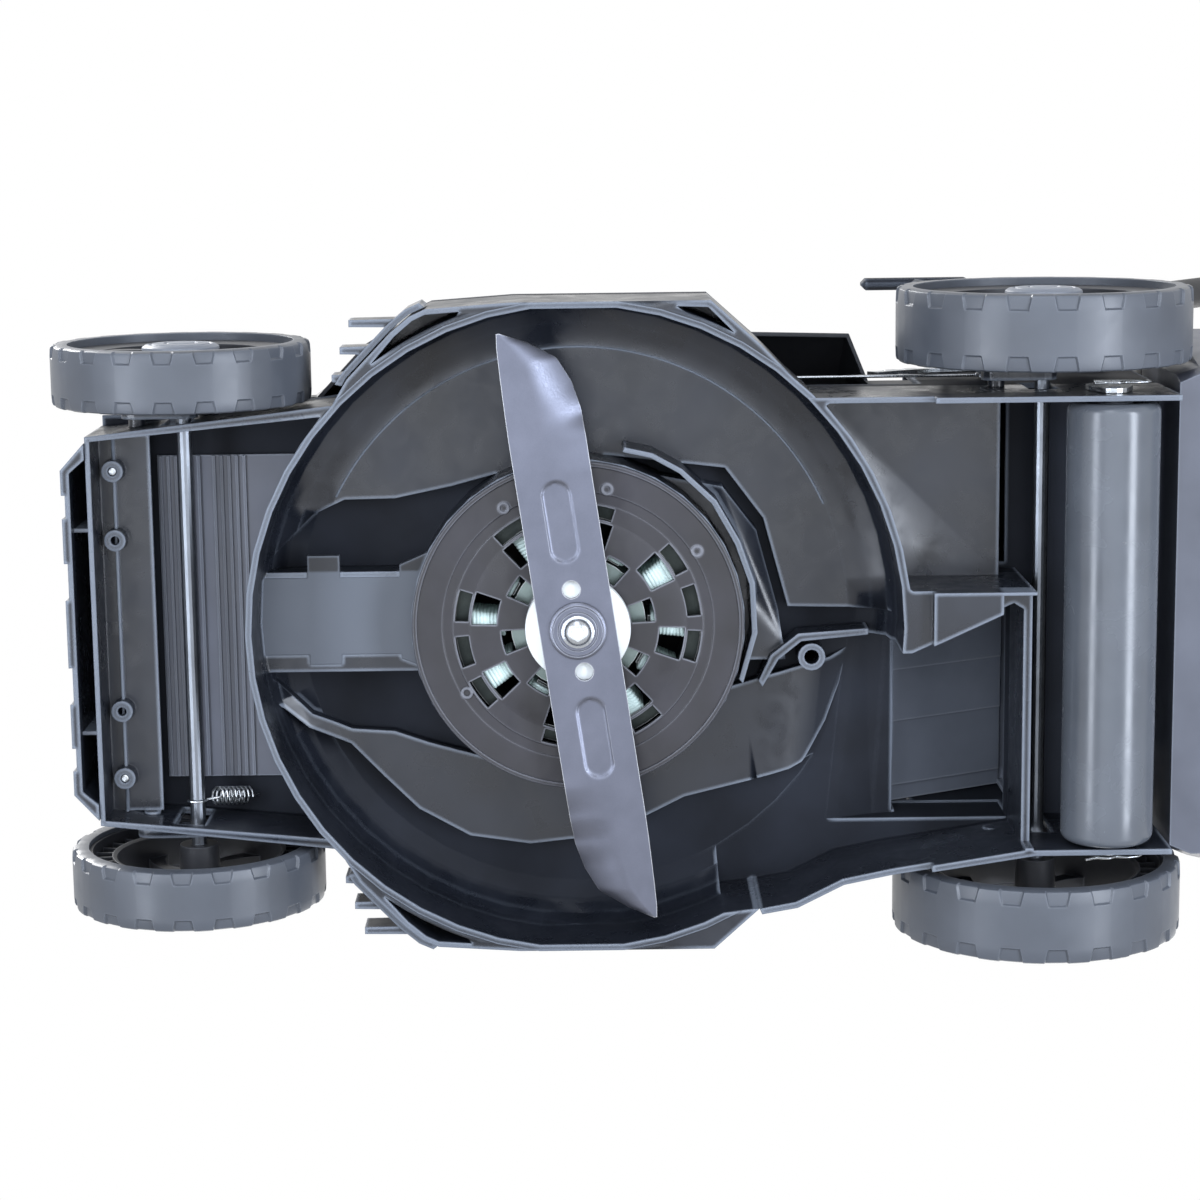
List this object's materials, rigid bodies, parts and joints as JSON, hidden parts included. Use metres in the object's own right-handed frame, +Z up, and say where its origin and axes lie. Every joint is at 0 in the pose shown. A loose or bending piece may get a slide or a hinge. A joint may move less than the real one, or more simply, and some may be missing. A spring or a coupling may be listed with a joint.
{
  "type": "cordless lawn mower",
  "caption": "Walk-behind rotary mower with moulded deck, vented motor plate, bar blade, rear roller, height lever, grass box and folding handle.",
  "frame": {"origin": "centre of the bounding box on the ground under the wheels", "axes": "+Z up, -Y towards the nose, +Y towards the handle, +X to the user's left when walking forwards"},
  "size_m": [0.426, 1.3003, 1.0416],
  "materials": {
    "black_plastic": "moulded, fine grain, semi-matt",
    "grey_plastic": "moulded, satin",
    "pale_plastic": "moulded, smooth",
    "blue_plastic": "moulded, smooth",
    "red_plastic": "moulded, smooth",
    "tyre_rubber": "moulded tread, matt",
    "blade_steel": "hardened, oiled, ground edge",
    "bright_steel": "turned, bright",
    "zinc": "pressed, zinc plated",
    "roller_grey": "moulded, satin grey",
    "core_steel": "stacked laminations and enamelled windings",
    "circuit_board": "potted board in its tray",
    "powder_coat": "tube, black powder coat"
  },
  "bodies": {
    "deck": {"deck": "black_plastic", "front_skirt": "black_plastic", "comb_left": "black_plastic", "comb_right": "black_plastic", "bay_floor": "grey_plastic", "motor_plate": "black_plastic", "motor_stator": "core_steel", "motor_controller": "circuit_board", "motor_cover": "black_plastic", "carry_handle": "black_plastic", "battery_tray": "black_plastic", "roller_bracket_left": "zinc", "roller_bracket_right": "zinc", "height_quadrant": "zinc", "discharge_chute": "grey_plastic", "height_spring": "zinc"},
    "blade_unit": {"motor_rotor": "core_steel", "motor_shaft": "bright_steel", "drive_disc": "pale_plastic", "blade": "blade_steel", "blade_washer": "bright_steel", "blade_bolt": "bright_steel"},
    "front_axle": {"front_axle_rod": "bright_steel", "front_carrier_left": "black_plastic", "front_carrier_right": "black_plastic"},
    "rear_axle": {"rear_axle_rod": "bright_steel", "rear_carrier_left": "black_plastic", "rear_carrier_right": "black_plastic", "height_lever": "black_plastic"},
    "height_link": {"height_link": "bright_steel"},
    "front_left_wheel": {"front_left_wheel": "black_plastic", "front_left_tyre": "tyre_rubber", "front_left_cap": "grey_plastic"},
    "front_right_wheel": {"front_right_wheel": "black_plastic", "front_right_tyre": "tyre_rubber", "front_right_cap": "grey_plastic"},
    "rear_left_wheel": {"rear_left_wheel": "black_plastic", "rear_left_tyre": "tyre_rubber", "rear_left_cap": "grey_plastic"},
    "rear_right_wheel": {"rear_right_wheel": "black_plastic", "rear_right_tyre": "tyre_rubber", "rear_right_cap": "grey_plastic"},
    "roller": {"roller": "roller_grey"},
    "battery_lid": {"battery_lid": "blue_plastic"},
    "battery_pack": {"battery_pack": "black_plastic"},
    "battery_latch": {"battery_latch": "red_plastic"},
    "safety_key": {"safety_key": "red_plastic"},
    "rear_flap": {"rear_flap": "black_plastic"},
    "grass_box": {"grass_box": "grey_plastic", "grass_box_lid": "black_plastic"},
    "lower_handle": {"lower_handle_left": "powder_coat", "lower_handle_right": "powder_coat"},
    "upper_handle": {"upper_handle": "powder_coat", "switch_box": "black_plastic"},
    "clamp_lever_left": {"clamp_lever_left": "black_plastic"},
    "clamp_lever_right": {"clamp_lever_right": "black_plastic"},
    "bail_lever": {"bail_lever": "black_plastic"},
    "safety_button": {"safety_button": "red_plastic"}
  },
  "joints": [
    {"name": "blade_spin", "type": "hinge", "parent": "deck", "child": "blade_unit", "pos_m": [0, -0.3142, 0.05], "axis": [0, 0, 1], "continuous": true},
    {"name": "rear_axle_swing", "type": "hinge", "parent": "deck", "child": "rear_axle", "pos_m": [0, -0.0412, 0.095], "axis": [1, 0, 0], "range_deg": [-30, 30]},
    {"name": "front_axle_swing", "type": "hinge", "parent": "deck", "child": "front_axle", "pos_m": [0, -0.5972, 0.083], "axis": [1, 0, 0], "range_deg": [-30, 30], "deforming": ["height_spring"]},
    {"name": "link_pivot", "type": "hinge", "parent": "front_axle", "child": "height_link", "pos_m": [0.1324, -0.5972, 0.135], "axis": [1, 0, 0], "range_deg": [-30, 30]},
    {"name": "front_left_wheel_spin", "type": "hinge", "parent": "front_axle", "child": "front_left_wheel", "pos_m": [0.1651, -0.5672, 0.083], "axis": [1, 0, 0], "continuous": true},
    {"name": "front_right_wheel_spin", "type": "hinge", "parent": "front_axle", "child": "front_right_wheel", "pos_m": [-0.1651, -0.5672, 0.083], "axis": [1, 0, 0], "continuous": true},
    {"name": "rear_left_wheel_spin", "type": "hinge", "parent": "rear_axle", "child": "rear_left_wheel", "pos_m": [0.189, -0.0112, 0.095], "axis": [1, 0, 0], "continuous": true},
    {"name": "rear_right_wheel_spin", "type": "hinge", "parent": "rear_axle", "child": "rear_right_wheel", "pos_m": [-0.189, -0.0112, 0.095], "axis": [1, 0, 0], "continuous": true},
    {"name": "roller_spin", "type": "hinge", "parent": "deck", "child": "roller", "pos_m": [0, 0.0268, 0.0465], "axis": [1, 0, 0], "continuous": true},
    {"name": "lid_hinge", "type": "hinge", "parent": "deck", "child": "battery_lid", "pos_m": [0, -0.4102, 0.24], "axis": [-1, 0, 0], "range_deg": [0, 95]},
    {"name": "battery_slide", "type": "slide", "parent": "deck", "child": "battery_pack", "axis": [0, 0, 1], "range_m": [0, 0.012]},
    {"name": "latch_press", "type": "slide", "parent": "battery_pack", "child": "battery_latch", "axis": [0, 0, -1], "range_m": [0, 0.003], "stiffness_N_per_m": 300, "springref_m": -0.002},
    {"name": "key_pull", "type": "slide", "parent": "deck", "child": "safety_key", "axis": [0, 0, 1], "range_m": [0, 0.03]},
    {"name": "flap_hinge", "type": "hinge", "parent": "deck", "child": "rear_flap", "pos_m": [0, 0.0588, 0.231], "axis": [1, 0, 0], "range_deg": [0, 70]},
    {"name": "grass_box_slide", "type": "slide", "parent": "deck", "child": "grass_box", "axis": [0, 1, 0], "range_m": [0, 0.15]},
    {"name": "lower_fold", "type": "hinge", "parent": "deck", "child": "lower_handle", "pos_m": [0, 0.0378, 0.232], "axis": [-1, 0, 0], "range_deg": [-125, 0]},
    {"name": "upper_fold", "type": "hinge", "parent": "lower_handle", "child": "upper_handle", "pos_m": [0, 0.32667, 0.61535], "axis": [1, 0, 0], "range_deg": [0, 150]},
    {"name": "clamp_left_turn", "type": "hinge", "parent": "lower_handle", "child": "clamp_lever_left", "pos_m": [0.199, 0.32667, 0.61535], "axis": [1, 0, 0], "range_deg": [0, 110]},
    {"name": "clamp_right_turn", "type": "hinge", "parent": "lower_handle", "child": "clamp_lever_right", "pos_m": [-0.199, 0.32667, 0.61535], "axis": [1, 0, 0], "range_deg": [0, 110]},
    {"name": "bail_pull", "type": "hinge", "parent": "upper_handle", "child": "bail_lever", "pos_m": [0, 0.56439, 0.93081], "axis": [-1, 0, 0], "range_deg": [0, 21], "stiffness_Nm_per_rad": 0.6, "springref_deg": -22.92},
    {"name": "button_press", "type": "slide", "parent": "upper_handle", "child": "safety_button", "axis": [0, -0.7986, 0.6018], "range_m": [0, 0.004], "stiffness_N_per_m": 300, "springref_m": -0.002}
  ],
  "couplings": [
    {"joint": "front_axle_swing", "follows": "rear_axle_swing", "ratio": 1},
    {"joint": "link_pivot", "follows": "rear_axle_swing", "ratio": -1}
  ]
}
